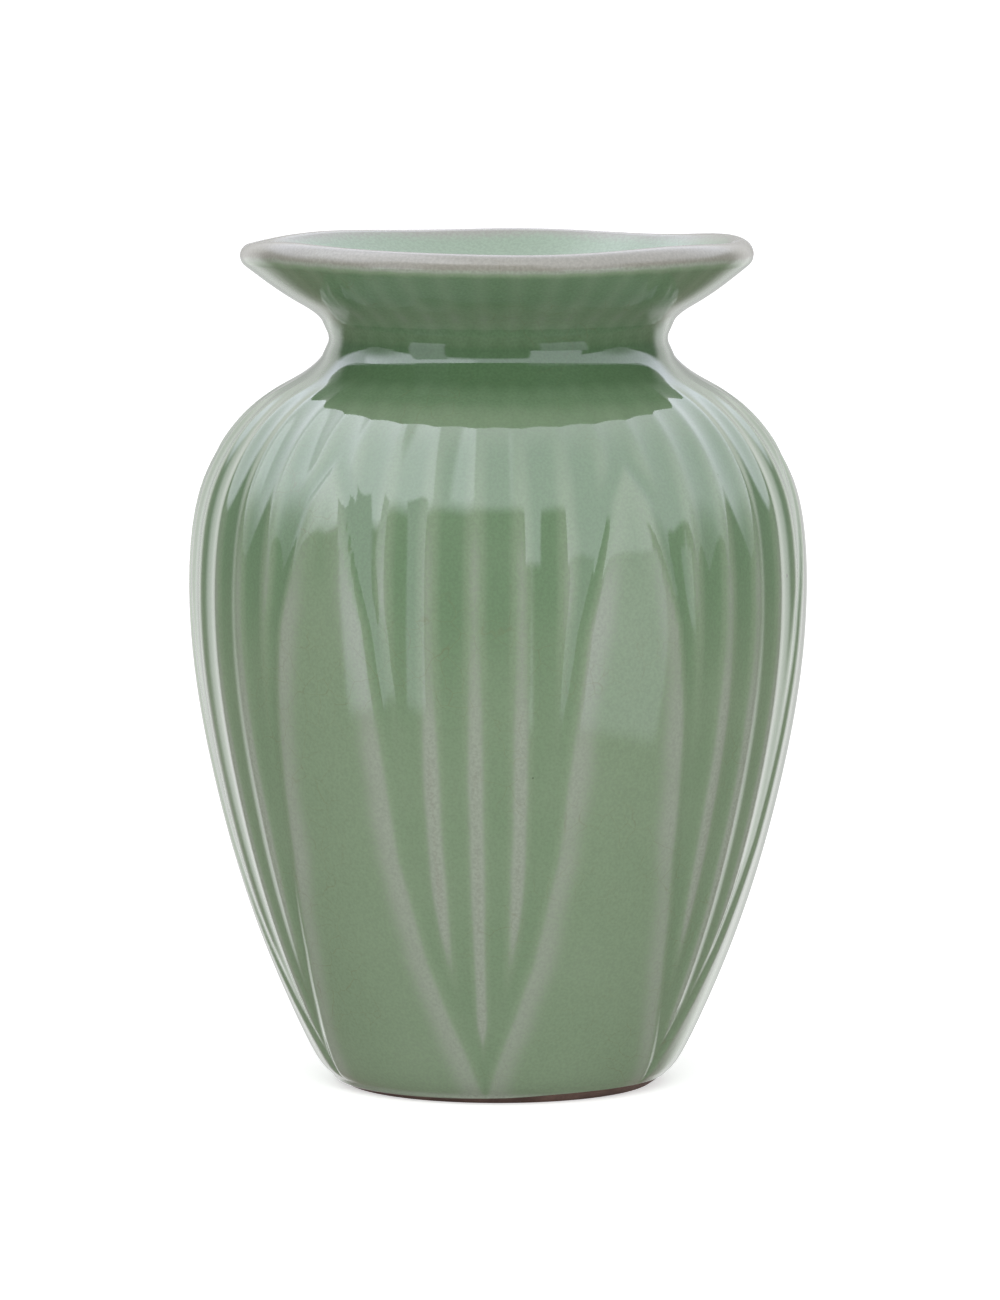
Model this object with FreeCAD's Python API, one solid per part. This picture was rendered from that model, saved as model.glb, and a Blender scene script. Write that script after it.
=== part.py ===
import FreeCAD, Part
import math
import os

# A carved celadon vase: one thrown and carved stoneware body in three coats of glaze.
# Millimetres. The origin is the centre of the foot's standing face, +Z is up, and one of the
# six carved leaves faces -Y. Azimuths are counted from -Y towards +X.

# --- foot and base ---
FOOT_RADIUS = 32.3            # outer edge of the standing face
FOOT_RING_WIDTH = 5.0         # the ring of bare clay that the vase stands on
FOOT_BEVEL_HEIGHT = 2.0       # bare bevel, from the table up to the edge of the glaze
FOOT_BEVEL_REACH = 2.8        # how far the bevel leans out
RECESS_DEPTH = 4.5            # hollow turned into the underside
RECESS_FLARE = 1.0            # the ring's inner wall leans in by this much
BASE_THICKNESS = 6.0          # clay and glaze between the recess and the floor inside
FLOOR_CORNER = 9.0            # rounding between the floor inside and the wall

# --- outline, from the edge of the glaze to the lip ---
BELLY_RISE = 104.0            # edge of the glaze to the widest place
BELLY_RADIUS = 65.2
SHOULDER_RISE = 51.1          # widest place to the neck's narrowest
NECK_RADIUS = 35.7
FLARE_RISE = 18.0             # narrowest place to the middle of the lip's round
MOUTH_RADIUS = 51.3          # to the middle of the lip's round
LIP_ROUND = 2.8               # the lip is a full round of this radius
FLARE_SLOPE = 36.0            # degrees above level at which the flare meets the lip

# Curve of each stretch: (share of its rise, share of the way to its next radius).
BELLY_CURVE = ((0.017, 0.073), (0.05, 0.15), (0.12, 0.268), (0.24, 0.446), (0.40, 0.641),
               (0.59, 0.817), (0.79, 0.948))
SHOULDER_CURVE = ((0.20, 0.018), (0.39, 0.08), (0.555, 0.205), (0.68, 0.36), (0.80, 0.61),
                  (0.905, 0.90))
FLARE_CURVE = ((0.26, 0.065), (0.53, 0.39))

# --- wall ---
WALL_THICKNESS = 5.0          # glaze to glaze; at the lip it is the lip's round instead

# --- glaze ---
THIN_GLAZE = 0.3              # over edges, the neck and the lip
POOLED_SHARE = 0.6            # share of the carving's depth that the glaze fills
INNER_GLAZE = 0.4
BASE_GLAZE = 0.4

# --- carving: leaves of fine flutes, with a plain pointed panel between each two ---
LEAVES = 6
RIDGES_PER_LEAF = 7
FLUTE_DEPTH = 1.2             # in the clay
PANEL_HOLLOW = 0.4            # in the clay, at a panel's middle
PANEL_HOLLOW_REACH = 9.0      # from a panel's edge to its full hollow
LEAF_RISE = 131.0             # edge of the glaze to the peaks of the plain panels
LEAF_CUT_WIDTH = 2.6          # the sloping cut along a leaf's border
RIDGE_STOP = 3.0              # a ridge dies out this far from the border
RIDGE_TAPER = 3.5             # and is at its full height this much further in
RIDGE_GATHER = 0.86           # the ridges draw together to this share at the foot
GATHER_RISE = 60.0            # and are evenly spaced from here up
FLUTE_TOP_DROP = 5.5          # the flutes end this far under the narrowest place
FLUTE_RUNOUT = 11.5           # and lose their depth over this height
TIP_RUNOUT = 3.0              # height over which the carving fades in above the glaze's edge

# Border of a leaf: (share of its rise, share of its half width), from its tip to its top.
LEAF_BORDER = ((0.0, 0.05), (0.05, 0.14), (0.13, 0.30), (0.225, 0.435), (0.39, 0.57),
               (0.62, 0.645), (0.76, 0.71), (0.875, 0.82), (0.96, 0.905), (1.0, 1.0))

# --- hand-made waviness of the rim: (waves around, height, azimuth of a crest in degrees) ---
RIM_LIFT = 0.35
RIM_WAVES = ((1, 0.21, 32.0), (2, 0.19, -80.0), (3, 0.40, -42.0), (4, 0.28, 39.0),
             (5, 0.15, 29.0), (6, 0.26, -6.0))
RIM_BEND = (-0.72, 0.69)      # direction in which the rim gives: in and up, across the flare

# --- how finely the skins are laid out ---
COLUMNS_PER_RIDGE = 8
PLAIN_COLUMNS = 84
FLUTED_ROWS = 64
FLARE_ROWS = 12
LIP_ROWS = 6
INNER_LIP_ROWS = 2
INNER_ROW_STEP = 2            # the smooth inside follows every second row of the outside
CORNER_TUCK = 0.9             # draws the floor's corner in, so that its curve doesn't bulge
SEWING_GAP = 0.001

GLAZE_LINE = FOOT_BEVEL_HEIGHT
GLAZE_LINE_RADIUS = FOOT_RADIUS + FOOT_BEVEL_REACH
BELLY_HEIGHT = GLAZE_LINE + BELLY_RISE
NECK_HEIGHT = BELLY_HEIGHT + SHOULDER_RISE
LIP_HEIGHT = NECK_HEIGHT + FLARE_RISE
FLOOR_HEIGHT = RECESS_DEPTH + BASE_THICKNESS
PITCH = 360.0 / (LEAVES * RIDGES_PER_LEAF)
HALF_LEAF = 180.0 / LEAVES


def smooth(x):
    """0 below 0, 1 above 1, and an easy curve between."""
    x = min(max(x, 0.0), 1.0)
    return x * x * (3.0 - 2.0 * x)


def stretch(start, end, shares):
    """Points between two (radius, height) places, at the given shares of rise and of reach."""
    return [(start[0] + (end[0] - start[0]) * reach, start[1] + (end[1] - start[1]) * rise)
            for rise, reach in shares]


def stations(curve, start, end, count):
    """Evenly spaced places up part of a curve, each as (radius, height, normal out, normal up)."""
    first, last = curve.parameter(start), curve.parameter(end)
    length = curve.length(first, last)
    found = []
    for row in range(count + 1):
        at = curve.parameterAtDistance(length * row / count, first)
        place = curve.value(at)
        along = curve.tangent(at)[0]
        found.append((place.x, place.z, along.z, -along.x))
    return found


def lip_stations(start, end, count):
    """Places round the lip between two directions in degrees, the first one left out."""
    found = []
    for row in range(1, count + 1):
        turn = math.radians(start + (end - start) * row / count)
        found.append((MOUTH_RADIUS + LIP_ROUND * math.cos(turn),
                      LIP_HEIGHT + LIP_ROUND * math.sin(turn), math.cos(turn), math.sin(turn)))
    return found


def outer_outline():
    """Stations of the glazed outside: (glaze line to neck, neck to the crest of the lip)."""
    foot = (GLAZE_LINE_RADIUS, GLAZE_LINE)
    belly = (BELLY_RADIUS, BELLY_HEIGHT)
    neck = (NECK_RADIUS, NECK_HEIGHT)
    slope = math.radians(FLARE_SLOPE)
    lip = (MOUTH_RADIUS + LIP_ROUND * math.sin(slope), LIP_HEIGHT - LIP_ROUND * math.cos(slope))
    route = ([foot] + stretch(foot, belly, BELLY_CURVE)
             + [belly] + stretch(belly, neck, SHOULDER_CURVE)
             + [neck] + stretch(neck, lip, FLARE_CURVE) + [lip])
    places = [FreeCAD.Vector(radius, 0, height) for radius, height in route]
    curve = Part.BSplineCurve()
    curve.interpolate(places)
    at_neck = places[route.index(neck)]
    body = stations(curve, places[0], at_neck, FLUTED_ROWS)
    flare = stations(curve, at_neck, places[-1], FLARE_ROWS)
    return body, flare + lip_stations(FLARE_SLOPE - 90.0, 90.0, LIP_ROWS)


def wall_thickness(height):
    """Glaze to glaze: the wall's own thickness, easing into the lip's round up the flare."""
    share = smooth((height - NECK_HEIGHT) / FLARE_RISE)
    return WALL_THICKNESS + (2.0 * LIP_ROUND - WALL_THICKNESS) * share


def inner_outline(body, flare):
    """Stations of the glazed inside, from the crest of the lip down to the floor's edge."""
    found = [(MOUTH_RADIUS, LIP_HEIGHT + LIP_ROUND, 0.0, 1.0)]
    found += lip_stations(90.0, 90.0 + FLARE_SLOPE, INNER_LIP_ROWS)
    outside = body[:-1:INNER_ROW_STEP] + flare[:FLARE_ROWS]
    for radius, height, out, up in reversed(outside):
        wall = wall_thickness(height)
        if height + wall * -up > FLOOR_HEIGHT + FLOOR_CORNER:
            found.append((radius - wall * out, height - wall * up, -out, -up))
    corner_radius = found[-1][0] - FLOOR_CORNER
    corner_height = FLOOR_HEIGHT + FLOOR_CORNER
    for turn in (math.radians(45.0), math.radians(90.0)):
        out, up = math.cos(turn), math.sin(turn)
        found.append((corner_radius + FLOOR_CORNER * out * CORNER_TUCK,
                      corner_height - FLOOR_CORNER * up, -out, up))
    return found


def lip_to_inner_glaze(height):
    """Thickness of the glaze inside: thin at the lip, and its full coat from the neck down."""
    return THIN_GLAZE + (INNER_GLAZE - THIN_GLAZE) * (1.0 - smooth((height - NECK_HEIGHT) / FLARE_RISE))


def leaf_border(height):
    """Half the width of a leaf at a height, in degrees. Above the panels' peaks it runs on."""
    share = (height - GLAZE_LINE) / LEAF_RISE
    lower = LEAF_BORDER[0]
    for upper in LEAF_BORDER[1:]:
        if share <= upper[0] or upper is LEAF_BORDER[-1]:
            slope = (upper[1] - lower[1]) / (upper[0] - lower[0])
            return HALF_LEAF * (lower[1] + slope * (share - lower[0]))
        lower = upper


def carving(radius, height, azimuth):
    """Depth of the carving in the clay at a place on the outside."""
    from_leaf = (azimuth + HALF_LEAF) % (2.0 * HALF_LEAF) - HALF_LEAF
    inside = math.radians(leaf_border(height) - abs(from_leaf)) * radius
    top = 1.0 - smooth((height - (NECK_HEIGHT - FLUTE_TOP_DROP - FLUTE_RUNOUT)) / FLUTE_RUNOUT)
    tip = smooth((height - GLAZE_LINE) / TIP_RUNOUT)
    if inside <= 0.0:
        return PANEL_HOLLOW * smooth(-inside / PANEL_HOLLOW_REACH) * tip
    spread = min(1.0, RIDGE_GATHER + (1.0 - RIDGE_GATHER) * height / GATHER_RISE)
    from_ridge = abs((from_leaf / (PITCH * spread) + 0.5) % 1.0 - 0.5)
    ridge = (1.0 - 2.0 * from_ridge) ** 2 * smooth((inside - RIDGE_STOP) / RIDGE_TAPER)
    return FLUTE_DEPTH * (1.0 - ridge) * smooth(inside / LEAF_CUT_WIDTH) * top * tip


def rim_bend(height, azimuth):
    """How far the rim gives at a place, as (radius, height)."""
    share = max(0.0, (height - NECK_HEIGHT) / FLARE_RISE) ** 2
    lift = RIM_LIFT + sum(size * math.cos(waves * math.radians(azimuth - crest))
                          for waves, size, crest in RIM_WAVES)
    return RIM_BEND[0] * lift * share, RIM_BEND[1] * lift * share


def skin(outline, columns, depth):
    """A closed smooth skin round the axis, depth(radius, height, azimuth) inside an outline."""
    turn = 360.0 / columns
    swell = 3.0 / (2.0 + math.cos(math.radians(turn)))
    lengths = [0.0]
    for low, high in zip(outline, outline[1:]):
        lengths.append(lengths[-1] + math.hypot(high[0] - low[0], high[1] - low[1]))
    poles = []
    for column in range(columns):
        azimuth = (column - 1) * turn
        side = FreeCAD.Vector(math.sin(math.radians(azimuth)), -math.cos(math.radians(azimuth)), 0)
        places = []
        for radius, height, out, up in outline:
            cut = depth(radius, height, azimuth)
            inward, lift = rim_bend(height, azimuth)
            places.append(side * (radius - cut * out + inward)
                          + FreeCAD.Vector(0, 0, height - cut * up + lift))
        meridian = Part.BSplineCurve()
        meridian.interpolate(Points=places, Parameters=lengths)
        poles.append([FreeCAD.Vector(p.x * swell, p.y * swell, p.z) for p in meridian.getPoles()])
    surface = Part.BSplineSurface()
    surface.buildFromPolesMultsKnots(
        poles, [1] * (columns + 1), meridian.getMultiplicities(),
        list(range(columns + 1)), meridian.getKnots(), True, False, 3, 3)
    return surface.toShape()


def ends(face):
    """The closed edges round a skin: at its start and at its end."""
    return [edge for edge in face.Edges if not edge.isSeam(face)]


def disc(edge):
    """A flat face inside a closed edge."""
    return Part.Face(Part.Wire([edge]))


def turned(points):
    """Faces turned round the axis from a run of (radius, height) points."""
    wire = Part.makePolygon([FreeCAD.Vector(0, -radius, height) for radius, height in points])
    return wire.revolve(FreeCAD.Vector(0, 0, 0), FreeCAD.Vector(0, 0, 1), 360).Faces


def solid(faces):
    """One closed solid from faces that meet along their edges."""
    shape = Part.makeCompound(faces)
    shape.sewShape(SEWING_GAP)
    made = Part.Solid(shape.Shells[0])
    if made.Volume < 0.0:
        made.reverse()
    return made


def glazed_vase():
    """Every piece by name. The glazes and the clay share the faces where they meet."""
    body, flare = outer_outline()
    inside = inner_outline(body, flare)

    carved_clay = skin(body, COLUMNS_PER_RIDGE * LEAVES * RIDGES_PER_LEAF,
                       lambda *place: THIN_GLAZE + carving(*place))
    carved_glaze = skin(body, COLUMNS_PER_RIDGE * LEAVES * RIDGES_PER_LEAF,
                        lambda *place: (1.0 - POOLED_SHARE) * carving(*place))
    flare_clay = skin(flare, PLAIN_COLUMNS, lambda *place: THIN_GLAZE)
    flare_glaze = skin(flare, PLAIN_COLUMNS, lambda *place: 0.0)
    inside_clay = skin(inside, PLAIN_COLUMNS, lambda *place: lip_to_inner_glaze(place[1]))
    inside_glaze = skin(inside, PLAIN_COLUMNS, lambda *place: 0.0)

    glaze_line = Part.makeRuledSurface(ends(carved_glaze)[0], ends(carved_clay)[0])
    crest = Part.makeRuledSurface(ends(flare_glaze)[1], ends(flare_clay)[1])
    clay_floor = disc(ends(inside_clay)[1])
    glaze_floor = disc(ends(inside_glaze)[1])

    clay_edge = ends(carved_clay)[0].Vertexes[0].Point
    ring_radius = FOOT_RADIUS - FOOT_RING_WIDTH
    ceiling_radius = ring_radius - RECESS_FLARE
    foot = turned([(math.hypot(clay_edge.x, clay_edge.y), clay_edge.z), (FOOT_RADIUS, 0.0),
                   (ring_radius, 0.0), (ceiling_radius, RECESS_DEPTH), (0.0, RECESS_DEPTH)])
    lower_radius = ceiling_radius + RECESS_FLARE * BASE_GLAZE / RECESS_DEPTH
    base = turned([(0.0, RECESS_DEPTH), (ceiling_radius, RECESS_DEPTH),
                   (lower_radius, RECESS_DEPTH - BASE_GLAZE), (0.0, RECESS_DEPTH - BASE_GLAZE)])

    return {
        "clay_body": solid([carved_clay, flare_clay, inside_clay, clay_floor] + foot),
        "outer_glaze": solid([carved_glaze, flare_glaze, crest, flare_clay, carved_clay,
                              glaze_line]),
        "inner_glaze": solid([inside_glaze, glaze_floor, inside_clay, clay_floor, crest]),
        "base_glaze": solid(base),
    }


os.makedirs("parts", exist_ok=True)
for name, piece in glazed_vase().items():
    piece.exportStep("parts/" + name + ".step")
    print(name, "valid" if piece.isValid() else "NOT VALID", round(piece.Volume / 1000.0, 2), "cm3")
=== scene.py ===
import math

import bpy
import numpy as np
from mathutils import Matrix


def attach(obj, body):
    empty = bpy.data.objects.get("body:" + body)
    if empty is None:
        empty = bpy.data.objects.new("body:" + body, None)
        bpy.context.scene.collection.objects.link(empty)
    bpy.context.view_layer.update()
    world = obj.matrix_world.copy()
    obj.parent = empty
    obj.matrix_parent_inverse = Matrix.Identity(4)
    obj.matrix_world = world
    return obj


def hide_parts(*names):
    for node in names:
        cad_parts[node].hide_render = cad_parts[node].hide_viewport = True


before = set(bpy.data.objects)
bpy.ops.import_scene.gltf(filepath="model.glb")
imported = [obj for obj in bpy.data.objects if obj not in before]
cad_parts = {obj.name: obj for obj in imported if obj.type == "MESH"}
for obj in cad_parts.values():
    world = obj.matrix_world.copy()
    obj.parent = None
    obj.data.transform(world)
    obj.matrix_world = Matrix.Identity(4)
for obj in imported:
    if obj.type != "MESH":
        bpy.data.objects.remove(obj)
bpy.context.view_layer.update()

bl_info = {
    "name": "Carved Celadon Vase",
    "version": (1, 0, 0),
    "blender": (4, 5, 0),
    "location": "3D View > Sidebar > Vase",
    "description": "Glaze coats, bare stoneware foot and studio for a carved celadon vase",
    "category": "Object",
}


# --- Sizes and colours ---

def length(name, description, default):
    """A property for a length in metres."""
    return bpy.props.FloatProperty(name=name, description=description, default=default,
                                   min=0.0, precision=5, unit="LENGTH")


def angle(name, description, degrees):
    """A property for an angle, given in degrees."""
    return bpy.props.FloatProperty(name=name, description=description,
                                   default=math.radians(degrees), unit="ROTATION")


def share(name, description, default):
    """A property for a plain number between 0 and 1."""
    return bpy.props.FloatProperty(name=name, description=description, default=default,
                                   min=0.0, max=1.0, subtype="FACTOR")


def level(name, description, default):
    """A property for a brightness, or another plain number above 0."""
    return bpy.props.FloatProperty(name=name, description=description, default=default, min=0.0)


def colour(name, description, default):
    """A property for a colour, as linear red, green and blue."""
    return bpy.props.FloatVectorProperty(name=name, description=description, default=default,
                                         size=3, min=0.0, max=1.0, subtype="COLOR")


class VaseSizes(bpy.types.PropertyGroup):
    """The vase's outline and wall."""
    foot_radius: length("Foot radius", "Outer edge of the standing face", 0.0323)
    foot_ring_width: length("Foot ring width", "Bare ring that the vase stands on", 0.005)
    bevel_height: length("Bevel height", "Table to the edge of the glaze", 0.002)
    bevel_reach: length("Bevel reach", "How far the bare bevel leans out", 0.0028)
    recess_depth: length("Recess depth", "Hollow under the foot", 0.0045)
    recess_flare: length("Recess flare", "Lean of the recess's wall", 0.001)
    base_thickness: length("Base thickness", "Recess to the floor inside", 0.006)
    floor_corner: length("Floor corner", "Rounding between the floor and the wall", 0.009)
    belly_rise: length("Belly rise", "Edge of the glaze to the widest place", 0.104)
    belly_radius: length("Belly radius", "Half the widest width", 0.0652)
    shoulder_rise: length("Shoulder rise", "Widest place to the narrowest of the neck", 0.0511)
    neck_radius: length("Neck radius", "Half the narrowest width", 0.0357)
    flare_rise: length("Flare rise", "Narrowest place to the middle of the lip", 0.0180)
    mouth_radius: length("Mouth radius", "Axis to the middle of the lip's round", 0.0513)
    lip_round: length("Lip round", "Radius of the rounded lip", 0.0028)
    flare_slope: angle("Flare slope", "Slope at which the flare meets the lip", 36.0)
    wall: length("Wall", "Wall thickness, glaze to glaze", 0.005)


class CarvingSizes(bpy.types.PropertyGroup):
    """The carved leaves, their flutes and the plain panels between them."""
    leaves: bpy.props.IntProperty(name="Leaves", description="Carved leaves around", default=6,
                                  min=1)
    ridges: bpy.props.IntProperty(name="Ridges", description="Ridges in each leaf", default=7,
                                  min=1)
    depth: length("Flute depth", "Depth of a flute in the clay", 0.0012)
    panel_hollow: length("Panel hollow", "Hollow of a plain panel in the clay", 0.0004)
    hollow_reach: length("Hollow reach", "Panel's edge to its full hollow", 0.009)
    leaf_rise: length("Leaf rise", "Edge of the glaze to the peaks of the panels", 0.131)
    cut_width: length("Cut width", "Sloping cut along a leaf's border", 0.0026)
    ridge_stop: length("Ridge stop", "Border to the end of a ridge", 0.003)
    ridge_taper: length("Ridge taper", "End of a ridge to its full height", 0.0035)
    gather: share("Gather", "How closely the ridges draw together at the foot", 0.86)
    gather_rise: length("Gather rise", "Height from which the ridges are even", 0.060)
    top_drop: length("Top drop", "Narrowest place of the neck down to the flutes", 0.0055)
    runout: length("Run-out", "Height over which the flutes fade at the top", 0.0115)
    tip_runout: length("Tip run-out", "Height over which the carving fades in at the foot", 0.003)


class GlazeCoat(bpy.types.PropertyGroup):
    """Thickness and colours of the celadon glaze."""
    thin: length("Thin glaze", "Thickness over edges, the neck and the lip", 0.0003)
    pooled: share("Pooled share", "Share of the carving that the glaze fills", 0.6)
    inner: length("Inner glaze", "Thickness inside", 0.0004)
    base: length("Base glaze", "Thickness in the recess under the foot", 0.0004)
    line_waver: length("Line waver", "How far down the bevel the glaze runs on one side", 0.0011)
    line_rise: length("Line rise", "How far above the bevel the glaze stops on the other", 0.0010)
    lip_colour: colour("Lip colour", "Glaze at its thinnest", (0.262, 0.256, 0.222))
    ridge_colour: colour("Ridge colour", "Thin glaze over a ridge", (0.270, 0.308, 0.250))
    panel_colour: colour("Panel colour", "Glaze of middling thickness", (0.193, 0.263, 0.171))
    flute_colour: colour("Flute colour", "Glaze pooled in a flute", (0.126, 0.205, 0.115))
    inside_colour: colour("Inside colour", "Even coat inside", (0.215, 0.295, 0.208))
    speck_colour: colour("Speck colour", "Iron specks burnt through the glaze",
                         (0.030, 0.034, 0.020))


class BareClay(bpy.types.PropertyGroup):
    """Colours of the unglazed stoneware."""
    dark: colour("Dark clay", "Iron-bearing clay burnt dark", (0.082, 0.045, 0.036))
    light: colour("Light clay", "The same clay where it is drier", (0.170, 0.103, 0.080))
    grit: length("Grit", "Size of the grit that roughens the bare clay", 0.0005)


class StudioSetup(bpy.types.PropertyGroup):
    """Camera, floor and lights."""
    camera_turn: angle("Camera turn", "Azimuth of the camera from the front leaf", 4.3)
    camera_distance: length("Camera distance", "Level distance from the vase's axis", 1.690)
    camera_height: length("Camera height", "Above the floor", 0.2645)
    camera_tilt: angle("Camera tilt", "How far the camera looks down", 5.84)
    lens: level("Lens", "Focal length in mm", 222.8)
    shift: level("Shift", "Sideways shift", 0.0013)
    floor_colour: colour("Floor colour", "Plain pale floor", (0.80, 0.80, 0.79))
    floor_size: length("Floor size", "Floor's reach to the sides and behind", 30.0)
    floor_front: length("Floor front", "Floor's reach in front of the vase", 0.42)
    floor_glow: level("Floor glow", "Light that the floor gives off", 0.15)
    floor_white: level("Floor white", "The same, as the camera sees it", 0.54)
    sky: level("Surround", "Brightness of the white surround", 1.0)
    ambient: level("Ambient", "Light that comes evenly from all sides", 0.65)
    behind: level("Behind", "Brightness of the surround behind, in reflections", 1.6)
    far_behind: level("Far behind", "The same, straight behind the vase", 0.74)
    room: level("Room", "Brightness of the room in front", 0.19)
    room_low: colour("Low room", "Colour of the room below the table's height", (0.26, 0.22, 0.19))
    window: level("Windows", "Brightness of the room's ceiling", 3.2)
    window_colour: bpy.props.FloatVectorProperty(name="Window colour", default=(0.95, 0.97, 1.1),
                                                 description="Colour of the ceiling and windows",
                                                 size=3, min=0.0, max=2.0, subtype="COLOR")
    lamp: bpy.props.FloatProperty(name="Lamps", description="Power of each soft lamp",
                                  default=9.6, min=0.0, unit="POWER")


# --- The vase's shape ---

# Curve of each stretch of the outline: (share of its rise, share of the way to its next radius).
BELLY_CURVE = ((0.017, 0.073), (0.05, 0.15), (0.12, 0.268), (0.24, 0.446), (0.40, 0.641),
               (0.59, 0.817), (0.79, 0.948))
SHOULDER_CURVE = ((0.20, 0.018), (0.39, 0.08), (0.555, 0.205), (0.68, 0.36), (0.80, 0.61),
                  (0.905, 0.90))
FLARE_CURVE = ((0.26, 0.065), (0.53, 0.39))

# Border of a leaf: (share of its rise, share of its half width), from its tip to its top.
LEAF_BORDER = ((0.0, 0.05), (0.05, 0.14), (0.13, 0.30), (0.225, 0.435), (0.39, 0.57),
               (0.62, 0.645), (0.76, 0.71), (0.875, 0.82), (0.96, 0.905), (1.0, 1.0),
               (1.2, 1.6))

# Waviness of the rim: (waves around, height in metres, azimuth of a crest in degrees).
RIM_LIFT = 0.00035
RIM_WAVES = ((1, 0.00021, 32.0), (2, 0.00019, -80.0), (3, 0.00040, -42.0), (4, 0.00028, 39.0),
             (5, 0.00015, 29.0), (6, 0.00026, -6.0))
RIM_BEND = (-0.72, 0.69)

RIDGE_BLUNT = 0.09            # share of a pitch over which a ridge's crest is rounded

COLUMNS_PER_RIDGE = 10
BODY_ROWS = 150
LIP_ROWS = 14
EDGE_ROWS = 14
BASE_COLUMNS = 210
BASE_ROWS = 24
HIDDEN_STEP = 4               # the side of a coat that lies on the clay has every fourth row

# Bright panels of the room in front: brightness, what limits them across (0 azimuth, 1 sideways
# reach) and along (0 rise, 1 turn overhead), left, right, low, high and softness.
ROOM_PANELS = (
    (0.96, 1, 1, -0.97, 0.97, 0.56, 2.65, 0.16),
    (1.65, 1, 1, -0.90, -0.22, 0.66, 2.10, 0.14),
    (0.60, 0, 0, -1.10, -0.64, -0.35, 0.60, 0.05),
    (0.95, 0, 0, 0.38, 1.02, 0.10, 0.60, 0.05),
    (0.45, 0, 0, 0.50, 1.10, -0.40, 0.12, 0.05),
)

# How thick the outside coat looks, in millimetres of glaze; round the neck it also holds painted
# shade. A step is (change, where it starts, the distance that it takes), in metres above the edge
# of the glaze unless it says otherwise.
FLUTE_LOOK = 0.73
FLUTE_STEPS = ((0.18, 0.078, 0.035), (-0.24, 0.134, 0.010))
CREST_LOOK = 0.31
CREST_STEPS = ((0.16, 0.070, 0.030), (0.30, 0.105, 0.040))
CREST_WIDTH = 0.02            # share of a pitch that is at its palest along a ridge
CREST_FADE = 0.33             # and the share over which the paleness fades
PANEL_LOOK = 0.41
PANEL_STEPS = ((0.16, 0.098, 0.026),)
PANEL_INWARD = ((0.21, 0.001, 0.006),)                   # inward from the panel's edge
CUT_PALE = 0.0004             # the panel's edge stays pale this far into the leaf
CUT_SHARE = 0.9               # share of the cut's width over which the glaze deepens
UPPER_LOOK = 0.56             # top of the shoulder, where the flutes have run out
FLARE_STEPS = ((0.40, 0.006, 0.006),)                    # up from the neck
STRIPE_LOOK = 0.14            # how much paler the stripes are that go on from the ridges
STRIPE_REACH = 0.45           # share of a pitch
NECK_SHADE = 1.65              # painted shade under the flare: colour darkened round the neck, where the coat is thin
NECK_SHADE_DROP = 0.003
NECK_SHADE_REACH = 0.0055
LIP_LOOK = 0.12
LIP_PALE_DROP = 0.9           # the paleness starts this many lip rounds under the lip's middle
LIP_PALE_INSIDE = 0.3         # and this many above it on the inside
EDGE_PALE = 0.25              # share by which the glaze thins at its lower edge
EDGE_PALE_REACH = 0.0008
INSIDE_LOOK = 0.42            # the even coat inside
BASE_LOOK = 0.5               # the coat under the foot

LAMP_SIDE = math.radians(12.0)           # either side of the camera
LAMP_RISE = math.radians(35.0)
LAMP_SIZE = 1.2
LAMP_DISTANCE = 1.8
LAMPS_MEET = (0.0, 0.0, 0.11)            # where both lamps point

EDGE_JOIN = 3                 # the body's rows below this one are laid out from the edge
FLOOR_HOLE = 0.0008           # radius of the last row on the floor, closed by a cap
FOOT_ROUND = 0.0006           # how far the foot's corners are rounded

# The rolled lower edge of the glaze, in metres.
EDGE_ROUND = 0.0004           # distance over which the edge rises to its full thickness
EDGE_BEAD = 0.00015           # how much thicker the glaze is just above its edge
EDGE_BEAD_REACH = 0.0008
EDGE_CROWDING = 1.6           # the rows crowd together towards the edge
BEVEL_ROWS = 20
LINE_HIGH_SIDE = math.radians(75.0)      # azimuth at which the edge lies highest
LINE_RIPPLE = 0.12
LINE_RIPPLE_TURN = 0.6


def smooth(x):
    """0 below 0, 1 above 1, and an easy curve between."""
    x = np.clip(x, 0.0, 1.0)
    return x * x * (3.0 - 2.0 * x)


def spline(points, count):
    """Evenly spaced places along a smooth curve through points: (places, directions)."""
    points = np.array(points, float)
    knots = np.concatenate([[0.0], np.cumsum(np.linalg.norm(np.diff(points, axis=0), axis=1))])
    gaps = np.diff(knots)
    size = len(points)
    system, right = np.eye(size), np.zeros((size, 2))
    for k in range(1, size - 1):
        system[k, k - 1:k + 2] = gaps[k - 1], 2.0 * (gaps[k - 1] + gaps[k]), gaps[k]
        right[k] = 6.0 * ((points[k + 1] - points[k]) / gaps[k]
                          - (points[k] - points[k - 1]) / gaps[k - 1])
    bends = np.linalg.solve(system, right)
    fine = np.linspace(0.0, knots[-1], 40 * size)
    span = np.clip(np.searchsorted(knots, fine, side="right") - 1, 0, size - 2)
    gap = gaps[span][:, None]
    before = (fine - knots[span])[:, None]
    after = gap - before
    places = ((bends[span] * after ** 3 + bends[span + 1] * before ** 3) / (6.0 * gap)
              + (points[span] / gap - bends[span] * gap / 6.0) * after
              + (points[span + 1] / gap - bends[span + 1] * gap / 6.0) * before)
    along = np.concatenate([[0.0], np.cumsum(np.linalg.norm(np.diff(places, axis=0), axis=1))])
    even = np.linspace(0.0, along[-1], count + 1)
    even_places = np.stack([np.interp(even, along, places[:, k]) for k in range(2)], 1)
    slopes = np.gradient(places, along, axis=0)
    even_slopes = np.stack([np.interp(even, along, slopes[:, k]) for k in range(2)], 1)
    return even_places, even_slopes / np.linalg.norm(even_slopes, axis=1)[:, None]


def around(columns):
    """Azimuths of a skin's columns, as one row."""
    return np.linspace(0.0, 2.0 * math.pi, columns, endpoint=False)[None, :]


def spread_rows(rows):
    """The four numbers of each row, each as a column."""
    return tuple(rows[:, k][:, None] for k in range(4))


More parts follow.
